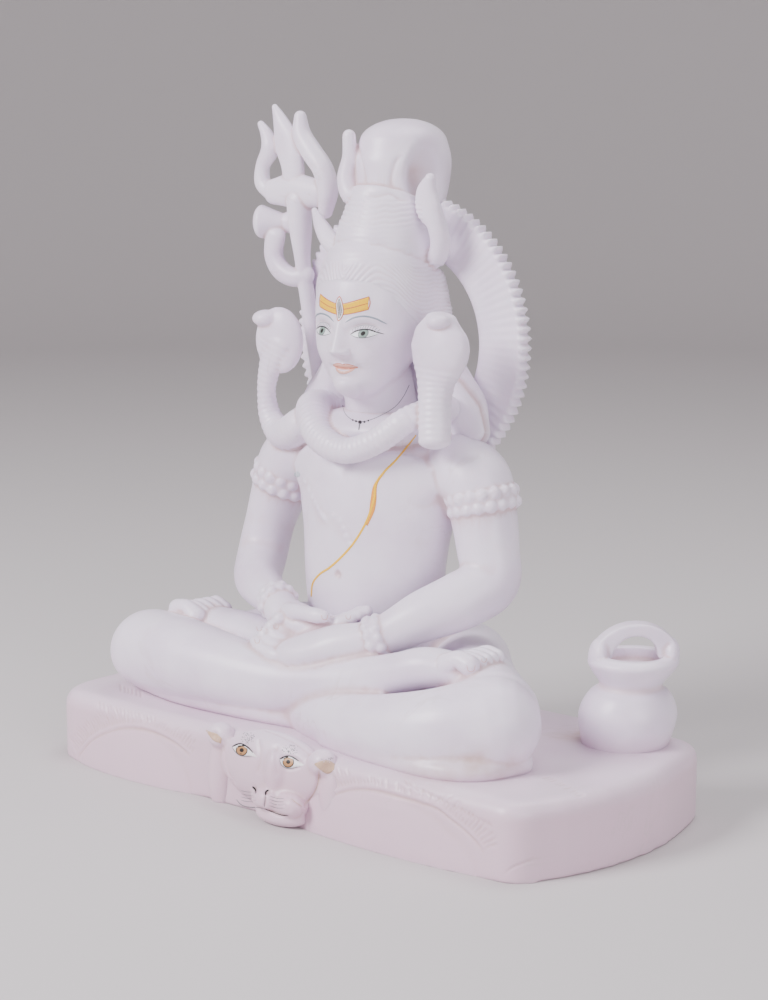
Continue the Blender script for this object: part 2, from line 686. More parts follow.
def addCobras(bm):
    addLimb(bm, cobras["rightBody"], **upright)
    addLimb(bm, cobras["leftBody"], dome=0.5, sides=40, **upright)
    for lump in cobras["lumps"]:
        addLump(bm, *lump)


# Head and neck below the hairline. Across and up are in the head's own frame, before its turn.
head = {
    "turn": 6.0,
    "face": [
        (0, -48, 300, 15, 13), (0, -40, 306, 27, 25), (0, -31, 318, 38, 36), (0, -22, 334, 46, 45),
        (0, -13, 352, 51, 53), (0, -6, 374, 51, 56), (0, 2, 392, 44, 48),
    ],
    "neck": [(0, 8, 258, 38, 33), (0, 5, 270, 35, 32.5), (0, 3, 284, 33.5, 32.5), (0, -4, 306, 33, 33)],
    "combed": [
        (0, 14, 352, 59, 56), (0, 5, 374, 59, 61), (0, 4, 394, 54, 61), (0, 5, 407, 48, 53),
        (0, 8, 416, 36, 38),
    ],
    # how high the hair begins, for each angle round from the front in radians
    "hairline": ((0, 388), (0.45, 386), (0.85, 375), (1.15, 356), (1.5, 330), (1.9, 250)),
}
face = {
    "voxel": 1.3, "ease": 7, "fineVoxel": 0.8, "fineEase": 3, "limit": 120000, "hollowScale": 1.4,
    # height, how far the nose's ridge stands out there and how wide it is
    "nose": (
        (325, 0.0, 5.0), (327.4, 2.6, 5.4), (329.4, 9.4, 6.4), (332, 13.0, 6.8), (336, 11.0, 6.6),
        (342, 8.0, 5.6), (350, 5.2, 5.0), (358, 2.8, 5.4), (366, 0.0, 6.5),
    ),
    # across, height, radius across, radius up, how far it stands out; both sides where it is off the middle
    "forms": (
        (20, 351.5, 12, 8, -4.2), (21.8, 347.2, 9.5, 6, 4.2), (29, 333, 14, 12, 2.4), (46, 364, 9, 12, -1.2),
        (7.3, 331.2, 3.7, 3.3, 5.0), (0, 301, 11, 7, 3.0), (0, 308, 8, 2.3, -1.3), (0, 323.5, 1.7, 3.2, -0.9),
        (15.5, 317.5, 2.6, 2.6, -1.0),
    ),
    "brow": {"across": 24, "height": 361.5, "bend": 0.0176, "width": 3.4, "rise": 1.7},
    "mouth": {"height": 316.4, "bend": 0.006, "half": 14.0},
    "upperLip": {"height": 319.4, "width": 2.1, "rise": 2.5},
    "lowerLip": {"height": 313.2, "half": 11.0, "width": 2.7, "rise": 3.2},
    # eyes: middle, half width, how far the lids open above and below, and the lift of the outer corner
    "eye": {"across": 22.0, "half": 11.5, "height": 347.6, "upper": 4.3, "lower": 2.9, "tilt": 0.05,
            "iris": 4.3, "pupil": 1.9},
}


def headFrame(places):
    angle = math.radians(head["turn"])
    x = places[:, 0] * math.cos(angle) + places[:, 1] * math.sin(angle)
    y = -places[:, 0] * math.sin(angle) + places[:, 1] * math.cos(angle)
    return x, y, places[:, 2]


def aboveHairline(places):
    # how far a place is above the edge of the hair
    x, y, z = headFrame(places)
    turns, heights = zip(*head["hairline"])
    return z - np.interp(np.abs(np.arctan2(x, -(y - 6))), turns, heights)


def mouthLine(x):
    return face["mouth"]["height"] + face["mouth"]["bend"] * x ** 2


def faceForm(x, z):
    # how far the features stand out from the face's masses
    far = np.abs(x)
    heights, rises, widths = zip(*face["nose"])
    out = np.interp(z, heights, rises) * np.exp(-(x / np.interp(z, heights, widths)) ** 2)
    for across, height, wide, tall, rise in face["forms"]:
        out += rise * np.exp(-((far - across) / wide) ** 2 - ((z - height) / tall) ** 2)
    brow = face["brow"]
    ridge = brow["height"] - brow["bend"] * (far - brow["across"]) ** 2
    out += (brow["rise"] * np.exp(-((z - ridge) / brow["width"]) ** 2) * ramp(far, 3, 9)
            * (1 - ramp(far, 34, 42)))
    lip = face["upperLip"]
    bow = lip["height"] - 0.004 * x ** 2 + 0.5 * np.exp(-((far - 3) / 2.2) ** 2)
    full = np.clip(1 - (x / face["mouth"]["half"]) ** 2, 0, 1)
    out += lip["rise"] * full ** 0.7 * np.exp(-((z - bow) / lip["width"]) ** 2)
    lip = face["lowerLip"]
    full = np.clip(1 - (x / lip["half"]) ** 2, 0, 1)
    out += lip["rise"] * full ** 0.7 * np.exp(-((z - lip["height"] - 0.012 * x ** 2) / lip["width"]) ** 2)
    return out


def lids(across):
    # the edges of the lids at a place across the eye, from 0 at its inner corner to 1
    eye = face["eye"]
    u = 2 * across - 1
    middle = eye["height"] + eye["tilt"] * u * eye["half"]
    opened = np.clip(1 - u * u, 0, 1)
    return middle + eye["upper"] * opened ** 0.8, middle - eye["lower"] * opened


def eyeTracks(side, count=24):
    # lower and upper lid as tracks of spots
    eye = face["eye"]
    along = np.linspace(0.0, 1.0, count)
    x = side * (eye["across"] + (2 * along - 1) * eye["half"])
    upper, lower = lids(along)
    return np.stack([x, lower], 1), np.stack([x, upper + 0.05], 1)


def buildFace():
    bm = bmesh.new()
    turned(addLimb(bm, head["face"], dome=0.6, sides=48, **upright), head["turn"])
    addLimb(bm, head["neck"], sides=40, **upright)
    addLimb(bm, head["combed"], dome=0.1, sides=64, **upright)
    masses = fused(bm, "face_masses", face["voxel"], face["ease"])
    skin = readSkin(masses)
    x, y, z = headFrame(skin["places"])
    angle = math.radians(head["turn"])
    ahead = np.array((math.sin(angle), -math.cos(angle), 0), np.float32)
    front = ramp(skin["normals"] @ ahead, 0.15, 0.5)
    skin["places"] += (faceForm(x, z) * front)[:, None] * ahead
    writeSkin(skin)
    whole = fused(bmesh.new(), "face", face["fineVoxel"], face["fineEase"], masses)
    print("face fused", flush=True)
    carveFace(whole)
    return whole


def carveFace(mesh):
    skin = readSkin(mesh)
    cast = straightOn(treeOf(mesh), head["turn"])
    mouth = np.linspace(-face["mouth"]["half"], face["mouth"]["half"], 24)
    carveLine(skin, laid(cast, np.stack([mouth, mouthLine(mouth)], 1)), 1.0, -1.5, 0.12)
    for side in (-1, 1):
        low, high = eyeTracks(side)
        carveLine(skin, laid(cast, high + (0, 1.0)), 1.0, 0.7, 0.1)
        carveLine(skin, laid(cast, high + (0, 4.4)), 1.2, -0.9, 0.2)
        carveLine(skin, laid(cast, low - (0, 0.9)), 1.0, 0.5, 0.2)
        carveDots(skin, laid(cast, [(side * 4.3, 328.2)]), 1.7, -2.0)
        wing = [(side * 10.2, 335.5), (side * 11.6, 331.5), (side * 10.4, 328.0)]
        carveLine(skin, laid(cast, wing, 8), 1.2, -0.9)
    skin["lift"] -= 3.0 * ramp(aboveHairline(skin["places"]), 4, 14)
    writeSkin(skin)


# Hair, topknot with the crescent moon, and the small cobra on it
hair = {
    "voxel": 1.7, "knotEase": 26, "fineVoxel": 0.95, "fineEase": 2, "limit": 180000,
    "band": [(0, 7, 405, 45, 46), (0, 8, 426, 44, 45), (0, 12, 446, 39, 40), (0, 18, 462, 36, 39)],
    "lock": [(44, 14, 362, 15, 32), (50, 16, 334, 14, 24), (62, 22, 304, 20, 20), (80, 22, 274, 26, 17),
             (96, 16, 254, 20, 11)],
    "backHair": [(0, 32, 366, 46, 34), (0, 40, 310, 46, 26), (0, 44, 250, 60, 22), (0, 48, 196, 44, 12)],
    "knot": [(0, 22, 444, 37, 41), (0, 30, 466, 39, 45), (0, 34, 494, 41, 48), (0, 34, 511, 38, 44)],
    "scoop": {"middle": (46, 18, 484), "radii": (24, 24, 32)},
    "moon": [(-10, -12, 466, 7), (-24, -10, 466, 9), (-31, -8, 480, 9), (-29, -6, 500, 7), (-30, -6, 518, 6)],
    "smallCobra": [
        (30, 26, 411, 8), (50, 20, 412, 9), (59, 14, 426, 9), (58, 10, 442, 9), (52, 6, 456, 13, 8),
        (52, 4, 470, 11, 7), (57, 2, 482, 5, 5),
    ],
    "tail": [(-28, -14, 414, 10), (-50, -9, 424, 9), (-65, -4, 436, 7), (-77, 0, 450, 3)],
    "strand": 3.6, "row": 4.6,
    # creases seen on the topknot, as pixels of the photograph
    "creases": (
        ((356, 140), (360, 155), (364, 172), (366, 186)),
        ((405, 153), (397, 160), (393, 170), (391, 182), (394, 190)),
        ((362, 193), (375, 196), (390, 194), (400, 199), (410, 200)),
    ),
}


def buildHair():
    bm = bmesh.new()
    addLimb(bm, head["combed"], dome=0.1, sides=64, **upright)
    addLimb(bm, hair["band"], dome=0.1, sides=48, **upright)
    for side in (-1, 1):
        addLimb(bm, [(side * x, y, z, w, h) for x, y, z, w, h in hair["lock"]], **upright)
    addLimb(bm, hair["backHair"], sides=40, **upright)
    addLimb(bm, hair["moon"], sides=20, **upright)
    addLimb(bm, hair["smallCobra"], sides=24, **upright)
    addLimb(bm, hair["tail"], sides=20, **upright)
    knot = bmesh.new()
    addLimb(knot, hair["knot"], dome=0.6, sides=64, **upright)
    whole = fused(bm, "hair", hair["fineVoxel"], hair["fineEase"] + 3, scoopedKnot(knot))
    print("hair fused", flush=True)
    carveHair(whole)
    return whole


def scoopedKnot(bm):
    # the topknot with the scoop on each side pressed in
    scoop = hair["scoop"]
    for vert in bm.verts:
        for side in (-1, 1):
            x, y, z = vert.co
            gap = [(v - m) / r for v, m, r in zip((x * side, y, z), scoop["middle"], scoop["radii"])]
            far = math.sqrt(sum(g * g for g in gap))
            if far < 1:
                vert.co.x -= side * (1 - far) * scoop["radii"][0]
    return fused(bm, "knot", hair["voxel"], hair["knotEase"])


def carveHair(mesh):
    skin = readSkin(mesh)
    places = skin["places"]
    x, y, z = headFrame(places)
    around = np.arctan2(x, -(y - 6))
    above = aboveHairline(places)
    far = np.abs(around)
    noise = (0.8 * np.sin(around * 9 + z / 25) + 0.5 * np.sin(around * 17 - z / 18)
             + 0.7 * np.sin(around * 5 + z / 9))
    # strands combed back: steep over the brow, level at the temples and hanging below the ears
    steep = math.radians(62) * (1 - ramp(far, 0.2, 1.2))
    across = (z - 388) * np.cos(steep) - 58 * far * np.sin(steep)
    hanging = 1 - ramp(z, 335, 360)
    across = across * (1 - hanging) + 58 * far * hanging
    up = 0.5 + 0.5 * np.cos(2 * math.pi * across / hair["strand"] + 1.3 * noise)
    combed = ramp(above, 0, 8) * (1 - ramp(z, 405, 411))
    skin["lift"] += combed * (up - 0.45) * 0.8
    skin["lift"] -= 5.0 * ramp(-above, 0, 5) * (far < 1.6) * (z < 400)
    wrap = ramp(z, 407, 411) * (1 - ramp(z, 462, 465)) * (np.abs(places[:, 0]) < 50) * (y > -50)
    rows = 0.5 + 0.5 * np.cos(2 * math.pi * (z + 1.3 * np.sin(2 * around + 1)) / hair["row"] + 0.9 * noise)
    skin["lift"] += wrap * (rows - 0.5) * (0.2 + 0.4 * ramp(z, 436, 442))
    cast = seenFrom(treeOf(mesh))
    for track in hair["creases"]:
        carveLine(skin, laid(cast, track, 20), 2.6, -1.5)
    writeSkin(skin)


# The halo: ribs run out from the ring's inner edge to the teeth of its rim
halo = {
    "outer": 134.0, "inner": 83.0, "thick": 15.0, "corner": 2.5, "tooth": 5.0, "count": 96, "height": 334.0,
    "depth": 45.0, "rib": 0.6, "limit": 70000,
}


def buildHalo():
    bm = bmesh.new()
    inner, outer, corner, half = halo["inner"], halo["outer"], halo["corner"], halo["thick"] / 2
    flat = outer - inner - 2 * corner
    ring = [(inner, -half + corner), (inner + corner, -half)]
    ring += [(inner + corner + step / 10 * flat, -half) for step in range(1, 11)]
    ring += [(outer, -half + corner), (outer, half - corner)]
    ring += [(outer - corner - step / 10 * flat, half) for step in range(0, 11)]
    ring += [(inner, half - corner)]
    spun(bm, [(radius, depth, 0) for radius, depth in ring], (0, 1, 0), halo["count"] * 6, closed=True)
    for vert in bm.verts:
        x, depth, z = vert.co
        radius, turn = math.hypot(x, z), math.atan2(z, x)
        wave = 0.5 + 0.5 * math.cos(turn * halo["count"])
        share = (radius - inner) / (outer - inner)
        out = radius - halo["tooth"] * (1 - wave) * max(0.0, min(1.0, (share - 0.88) / 0.1))
        ribs = halo["rib"] * (wave - 1) * max(0.2, min(1.0, (share - 0.1) / 0.5))
        if abs(depth) > half - 1:
            depth += math.copysign(1, depth) * ribs
        vert.co = (x * out / radius, depth, z * out / radius)
    bmesh.ops.translate(bm, vec=(0, halo["depth"], halo["height"]), verts=bm.verts)
    return meshFrom(bm, "halo")


# The trident with its drum and ribbon, in one plane behind the right shoulder
trident = {
    "plane": 30, "voxel": 1.1, "ease": 4, "limit": 60000,
    "shaft": [(-92, 262, 7.5), (-108, 340, 7.5), (-119, 400, 7.5), (-121, 426, 10.5), (-123, 456, 12.5)],
    "blade": [
        (-129, 462, 11, 8), (-131, 490, 13, 8), (-137, 508, 15, 7), (-146, 530, 8, 6), (-153, 543, 3, 3),
    ],
    "leftProng": [
        (-156, 462, 8), (-169, 472, 8), (-169, 488, 7), (-159, 505, 9), (-164, 518, 6), (-171, 527, 3.5),
    ],
    "rightProng": [
        (-90, 448, 7), (-87, 468, 10), (-93, 486, 10), (-107, 502, 10), (-119, 518, 9), (-121, 534, 6),
    ],
    # collar, both heads of the drum and the ribbon: across, behind the plane, up and girth
    "offPlane": (
        ([(-156, 0, 464, 12, 9), (-130, 0, 466, 16, 10), (-98, 0, 464, 13, 9)], {"rise": (0, 1, 0)}),
        ([(-146, 3, 436, 8), (-165, -6, 436, 16)], {"dome": 0.5}),
        ([(-146, 3, 436, 8), (-132, 12, 436, 16)], {"dome": 0.5}),
        ([(-150, -4, 424, 11, 8), (-152, -4, 404, 10, 8), (-143, -4, 391, 10, 8), (-126, -4, 385, 9, 7),
          (-112, 0, 388, 8, 6)], upright),
    ),
}


def buildTrident():
    bm = bmesh.new()
    plane = trident["plane"]
    for name in ("shaft", "blade", "leftProng", "rightProng"):
        addLimb(bm, [(x, plane, z, *girth) for x, z, *girth in trident[name]], sides=24, **upright)
    for stations, settings in trident["offPlane"]:
        addLimb(bm, [(x, plane + behind, z, *girth) for x, behind, z, *girth in stations], **settings)
    return fused(bm, "trident", trident["voxel"], trident["ease"])


# The water pot: two bulges, an open mouth and a broad handle over it
pot = {
    "place": (252, 36), "voxel": 1.2, "ease": 8, "limit": 40000, "turn": 43.0, "lean": 0.1, "leanFrom": 29,
    "outside": [
        (36.5, -4), (41.5, 15), (42.5, 29), (35, 45.5), (27, 52.5), (35.5, 65.5), (39.5, 74.5), (34, 79.5),
    ],
    "inside": [(26, 79.5), (26, 68.5), (0.01, 64.5)],
    # outer and inner edge of the handle: half width, rise and the height where it springs
    "handleEdges": ((38.5, 33.5, 74.5), (19.75, 19.5, 77.5)), "handleWidth": 18.0,
    # the swelling that takes the handle's foot into the bowl's wall
    "flow": {"across": 31, "height": 79, "radii": (8.5, 16, 15)},
    "stains": (((206, 22, 2), (14, 16, 10), 0.6),),
}


def buildPot():
    bm = bmesh.new()
    outside = smoothTrack(pot["outside"], 48)
    spun(bm, [(r, 0, z) for r, z in ((0.01, -4), *outside, *pot["inside"])], (0, 0, 1), 96)
    bmesh.ops.remove_doubles(bm, verts=bm.verts, dist=0.05)
    turns = [math.pi * step / 24 for step in range(25)]
    outer, inner = (
        [(radius * math.cos(turn), base + rise * math.sin(turn)) for turn in turns]
        for radius, rise, base in pot["handleEdges"]
    )
    half, flow = pot["handleWidth"] / 2, pot["flow"]
    arch = bm.faces.new([bm.verts.new((x, -half, z)) for x, z in outer + inner[::-1]])
    extruded(bm, arch, (0, 2 * half, 0))
    for side in (-1, 1):
        addLump(bm, (side * flow["across"], 0, flow["height"]), flow["radii"])
    turned(bm.verts, pot["turn"], pot["lean"], pot["leanFrom"])
    bmesh.ops.translate(bm, vec=(*pot["place"], 0), verts=bm.verts)
    return fused(bm, "water_pot", pot["voxel"], pot["ease"])


# The rock with the tiger skin laid over it and the tiger's head at its front edge
ground = {
    "voxel": 1.9, "ease": 6, "fineVoxel": 1.4, "limit": 150000, "edge": 14.0,
    # the swellings under the skin's two arcs: middle and half width of each
    "arches": ((-152, 80), (158, 110)),
    "archHeight": 50.0, "archSwell": 10.0, "archDepth": 26, "archCentre": -8,
    # the lower edge of the skin on the front face: across, and height over the ground
    "rightArc": (
        (-238, 3.9), (-218.6, 22.5), (-195.7, 35.9), (-169, 45.4), (-136.6, 48.3), (-103.5, 43.3),
        (-81.3, 34.6),
    ),
    "leftArc": (
        (83, 29.9), (98, 38.3), (115, 45), (138, 49.2), (171, 49.5), (192, 48.9), (209, 47.3), (222, 42.2),
        (238.5, 35.3), (251.6, 27.7), (259, 20.2),
    ),
    "fur": {"step": 3.6, "length": (7, 12), "width": 1.1, "depth": 0.9},
    # tufts of fur as pixels of the photograph: first root, last root, the way they lie and how many
    "tufts": (
        ((98, 700), (154, 716), (1.0, 10), 15), ((121, 684), (141, 690), (0.5, 9), 6),
        ((404, 779), (488, 822), (5, 8), 20), ((541, 778), (576, 796), (9, -3), 9),
    ),
    "crack": ((502, 876), (512, 868), (526, 862), (540, 857)),
    "stains": (((186, -156, 0), (30, 14, 8), 0.25), ((206, 22, 0), (16, 18, 10), 0.6)),
}


def frontFace(x):
    middle = rock["leftReach"] - rock["length"] / 2
    return rock["back"] - rock["depth"] - rock["skew"] * (x - middle) / rock["length"]


def bend(start, control, end, steps=6):
    # the places after the start on a curve drawn towards its control
    return [
        tuple((1 - t) ** 2 * a + 2 * t * (1 - t) * b + t * t * c for a, b, c in zip(start, control, end))
        for t in (step / steps for step in range(1, steps + 1))
    ]


def rockOutline():
    right, left = rock["leftReach"] - rock["length"], rock["leftReach"]
    back, front = rock["back"], rock["back"] - rock["depth"]
    outline = [(right + 34, frontFace(right + 34)), (left - 58, frontFace(left - 58))]
    outline += bend(outline[-1], (left - 40, frontFace(left - 40)), (left - 30, front + 16))
    outline += bend(outline[-1], (left + 3, front + 76), (left - 4, back - 100))
    outline += bend(outline[-1], (left - 18, back - 26), (left - 30, back - 12))
    outline += bend(outline[-1], (left - 40, back - 2), (left - 62, back - 2))
    outline.append((right + 52, back))
    outline += bend(outline[-1], (right + 6, back), (right + 4, back - 50))
    outline.append((right + 2, front + 66))
    outline += bend(outline[-1], (right, frontFace(right) + 4), outline[0])[:-1]
    return outline


def addFrontLump(bm, place, radii):
    # the place is across, out of the front face and over the ground
    x, out, z = place
    addLump(bm, (x, frontFace(x) - out, z - rock["top"]), radii)


def buildRock():
    bm = bmesh.new()
    base = bm.faces.new([bm.verts.new((x, y, -rock["top"])) for x, y in rockOutline()])
    top = extruded(bm, base, (0, 0, rock["top"]))
    edges = [e for e in bm.edges if all(v in top for v in e.verts)]
    bmesh.ops.bevel(bm, geom=edges, offset=ground["edge"], offset_type="OFFSET", segments=6, profile=0.5,
                    affect="EDGES", material=-1)
    depth, centre = ground["archDepth"], ground["archCentre"]
    cut = math.sqrt(1 - ((depth - ground["archSwell"]) / depth) ** 2)
    for middle, half in ground["arches"]:
        addFrontLump(bm, (middle, ground["archSwell"] - depth, centre),
                     (half / cut, depth, (ground["archHeight"] - centre) / cut))
    masses = fused(bm, "rock_masses", ground["voxel"], ground["ease"])
    mesh = fused(bmesh.new(), "rock", ground["fineVoxel"], 1, masses)
    flattenFoot(mesh)
    carveRock(mesh)
    return mesh


def flattenFoot(mesh):
    # what hangs below the ground goes up to it
    for vert in mesh.vertices:
        vert.co.z = max(vert.co.z, 0)


def carveRock(mesh):
    skin = readSkin(mesh)
    tree = treeOf(mesh)
    cast, seen = straightOn(tree), seenFrom(tree)
    fur = ground["fur"]
    carveLine(skin, laid(seen, ground["crack"], 12), 1.0, -0.8)
    for first, last, way, count in ground["tufts"]:
        for share in np.linspace(0, 1, count):
            root = np.array(first) * (1 - share) + np.array(last) * share + random.uniform(-1, 1)
            track = [root, root + np.array(way) * 0.5 + (0.5, 0), root + way]
            carveLine(skin, laid(seen, track, 6), fur["width"], -fur["depth"], 0.3)
    for name in ("rightArc", "leftArc"):
        arc = smoothTrack([(x, z - rock["top"]) for x, z in ground[name]], 60)
        carveLine(skin, laid(cast, arc), 1.6, -1.5, 0.06)
        carveLine(skin, laid(cast, arc + (0, 2.6)), 2.2, 0.8, 0.06)
        walked = walkedAlong(arc)
        for row, start in ((0, 2.0), (1, 9.0)):
            for reach in np.arange(fur["step"] * (1 + 0.5 * row), walked[-1] - 2, fur["step"]):
                spot = np.array([np.interp(reach, walked, arc[:, axis]) for axis in (0, 1)])
                ahead = np.array([np.interp(reach + 1, walked, arc[:, axis]) for axis in (0, 1)]) - spot
                ahead /= max(np.linalg.norm(ahead), 1e-6)
                outward = np.array([-ahead[1], ahead[0]])
                outward = outward if outward[1] > 0 else -outward
                lean = 0.35 * math.copysign(1, spot[0] - arc[:, 0].mean()) + random.uniform(-0.12, 0.12)
                way = outward + lean * np.array([1, 0])
                length = random.uniform(*fur["length"])
                root = spot + outward * start
                track = [root, root + way * length * 0.5 + (0, 0.4), root + way * length]
                if track[-1][1] < -4:
                    carveLine(skin, laid(cast, track, 6), fur["width"], -fur["depth"], 0.35)
    writeSkin(skin)


# Tiger's head
tiger = {
    "voxel": 1.2, "ease": 26, "fineVoxel": 0.85, "fineEase": 1, "limit": 90000,
    "lumps": (
        ((20, -4, 42), (62, 20, 35)), ((36, 8, 20), (32, 13, 16)), ((38, 8, 8), (28, 14, 9)),
        ((35, 11, 46), (11, 9, 20)), ((30, 17, 23), (14, 10, 10)), ((56, 15, 22), (14, 10, 10)),
        ((-46, -3, 61), (14, 12, 12)), ((78, -3, 60), (14, 12, 12)), ((-48, -5, 24), (14, 11, 36)),
        ((88, -5, 22), (14, 11, 36)),
    ),
    # pixels of the photograph: track, width and height of each carved line
    "lines": (
        (((232, 748), (240, 744.5), (248, 748), (257, 757)), 1.6, -0.9),
        (((279.5, 762), (285, 757.5), (294, 758), (304, 765)), 1.6, -0.9),
        (((235, 752.5), (242, 757), (250, 757.5), (256, 757.5)), 1.2, -0.5),
        (((281, 766), (288, 769.5), (296, 768.5), (302, 766)), 1.2, -0.5),
        (((258, 738), (260, 750), (259.5, 762), (257, 775)), 2.4, -1.0),
        (((276, 744), (276, 756), (276.5, 768), (277, 778)), 2.4, -1.0),
        (((265.5, 795.6), (264.8, 801), (264.3, 807.5)), 1.1, -1.6),
        (((235.6, 798.7), (241.5, 804.9), (249.2, 807.2), (257, 807.2), (264.3, 808.8), (272.5, 811.9),
          (281.8, 815.4), (289, 815.7)), 1.2, -1.9),
        (((291.1, 798.7), (297.3, 803.3), (302, 806.4), (303, 812), (299.5, 817.5)), 1.3, -1.2),
        (((319, 769), (318.2, 781.6), (314.3, 792.5), (306.6, 803.3), (303.5, 808)), 1.8, -1.8),
        (((223.7, 744.5), (224.5, 761.5), (230.7, 777), (236, 784.8)), 1.8, -1.8),
        (((230, 779), (234, 784), (237, 790)), 1.2, -0.9),
        (((224, 738), (232, 731), (245, 727.5), (262, 729), (282, 736), (300, 746), (312, 757)), 1.8, -1.2),
        (((238.5, 793), (243, 796), (252, 797.5), (257, 796.5)), 0.9, -0.5),
        (((240, 797), (246, 800.5), (253, 801.5), (257.5, 800)), 0.9, -0.5),
        (((270, 797), (276, 797), (283, 799), (288, 803)), 0.9, -0.5),
        (((269, 801), (276, 802), (283, 804), (288, 807.5)), 0.9, -0.5),
    ),
    "dots": (
        ((254.5, 789.5), 2.4, -2.2), ((267.2, 792), 2.4, -2.2), ((213.5, 735.5), 4.5, -3.0),
        ((328, 767), 5.5, -3.2), ((244.5, 751), 7.0, -0.8), ((291, 762.5), 7.0, -0.8),
    ),
}


def buildTiger():
    bm = bmesh.new()
    for place, radii in tiger["lumps"]:
        addFrontLump(bm, place, radii)
    masses = fused(bm, "tiger_masses", tiger["voxel"], tiger["ease"])
    mesh = fused(bmesh.new(), "tiger_head", tiger["fineVoxel"], tiger["fineEase"], masses)
    flattenFoot(mesh)
    skin = readSkin(mesh)
    cast = seenFrom(treeOf(mesh))
    for track, width, height in tiger["lines"]:
        carveLine(skin, laid(cast, track, 20), width, height, 0.15)
    for spot, radius, height in tiger["dots"]:
        carveDots(skin, laid(cast, [spot]), radius, height)
    writeSkin(skin)
    return mesh


figure = finishPiece("seated_figure", buildBody(), body)
facePiece = finishPiece("face", buildFace(), face)
hairPiece = finishPiece("hair", buildHair(), hair)
rockPiece = finishPiece("rock_seat", buildRock(), ground)
tigerPiece = finishPiece("tiger_head", buildTiger(), tiger)
haloPiece = finishPiece("halo_ring", buildHalo(), halo)
tridentPiece = finishPiece("trident", buildTrident(), trident)
potPiece = finishPiece("water_pot", buildPot(), pot)
for piece in (figure, facePiece, hairPiece, rockPiece, tigerPiece, haloPiece, tridentPiece, potPiece):
    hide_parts("shiva_statue")

# Painted marks: films of colour that follow the skin, as low as coats of paint lie on it
film = {"lift": 0.1, "layer": 0.03, "depth": 0.3}
strokes = {
    "thread": (
        (416.1, 435.1), (405, 449.3), (395, 461.1), (383.9, 472.2), (376.1, 483.3), (374.3, 497.8),
        (371.2, 508.9), (366.1, 522.2), (359.4, 534.4), (351.7, 545.6), (340.6, 557.8), (329.4, 567.8),
        (319.4, 574.4), (312.8, 583.3), (311.2, 596.7),
    ),
    "threadLeft": ((384.5, 471), (373.9, 484.4), (370.5, 500), (369, 512), (365.3, 524)),
    "threadRight": ((385.5, 472), (377.5, 484.5), (376.5, 500), (374.5, 511), (367.5, 526)),
    "string": (
        (342.5, 405), (345, 413.3), (351.7, 419.5), (360, 421.7), (368.3, 420.5), (381.7, 415),
        (395, 406.7), (403.3, 396.7), (409.2, 385),
    ),
    "stringBeads": (
        (352.8, 420, 0.9), (356, 421.2, 1.1), (360, 422.2, 1.9), (364.4, 421.9, 1.1), (368.3, 420.6, 0.9),
    ),
    "pendant": ((359.8, 423), (359.4, 426), (358.8, 430)),
    # fine outlines of nails: middle and half width, and their arc in half widths
    "nails": (
        (324.6, 617, 3.2), (348.3, 617, 2.6), (259.4, 628.5, 2.8), (276.1, 626.5, 2.8), (257.2, 641, 2.6),
        (471, 668, 4.2), (484, 660, 2.6),
    ),
    "nailArc": ((-1, -0.7), (-0.6, 0.7), (0.6, 0.7), (1, -0.7)),
    # the tiger's eyes: lower lid, upper lid and middle of each, then radius, layer and paint of each disc
    "tigerEyes": (
        (((232.2, 747.2), (235.6, 752), (241.5, 756.3), (248.5, 755.8), (257, 757.2)),
         ((232.2, 746.8), (236, 744.8), (240, 743.7), (246, 746), (252, 751.5), (257, 756.9)), (241.8, 750.2)),
        (((279.5, 760), (281.8, 765.4), (288, 768.5), (294.2, 767.7), (304.3, 765.4)),
         ((279.5, 759.2), (283.4, 757.2), (289.6, 756), (295.8, 759.2), (304.3, 764.9)), (288.3, 761.9)),
    ),
    "tigerDiscs": ((5.9, 1, "black"), (5.0, 2, "amber"), (2.1, 3, "black")),
    # lines on the tiger: track, width and paint
    "tigerLines": (
        (((252.3, 786.6), (254, 788), (255.5, 790), (255.7, 793.3)), 1.8, "black"),
        (((268.8, 790.2), (267, 790.8), (265.8, 792.2), (265.6, 795.4)), 1.8, "black"),
        (((265.4, 795.6), (264.8, 801), (264.3, 807.2)), 0.6, "soot"),
        (((236.2, 799.5), (241.5, 804.9), (249.2, 807.2), (257, 807.4), (264.3, 808.9)), 0.8, "soot"),
        (((264.3, 808.9), (272.5, 811.9), (281.8, 815.2), (288.4, 815.7)), 1.0, "black"),
        (((291.1, 798.7), (297.3, 803.3), (302, 806.6)), 0.5, "tan"),
        (((319, 770), (318.2, 781.6), (314.3, 792.5), (306.6, 803.3)), 0.5, "tan"),
    ),
    "tigerEars": (
        (((206, 730.5), (209, 735.5), (214, 741), (221, 743.5)),
         ((206, 729.8), (211, 731.8), (217, 733.8), (222, 738.5))),
        (((314.5, 765), (321, 770.5), (328, 774), (334, 770)),
         ((314.5, 763.5), (321, 761), (329, 760.5), (335, 764))),
    ),
    # freckles: middle, spread and count; rows of whisker roots: left end, top, right end and slope
    "freckles": (((248, 738), (7, 6), 60), ((291, 749.5), (9, 4.5), 60), ((327, 758.5), (6.5, 1.4), 14)),
    "freckleSize": (0.28, 0.45),
    "whiskers": ((241, 790.5, 253, 1.6), (269.5, 796, 284, 2.6)), "whiskerStep": 3.2,
}


def onTrack(track, share):
    reach = share * (len(track) - 1)
    index = min(int(reach), len(track) - 2)
    return track[index] * (1 - reach + index) + track[index + 1] * (reach - index)


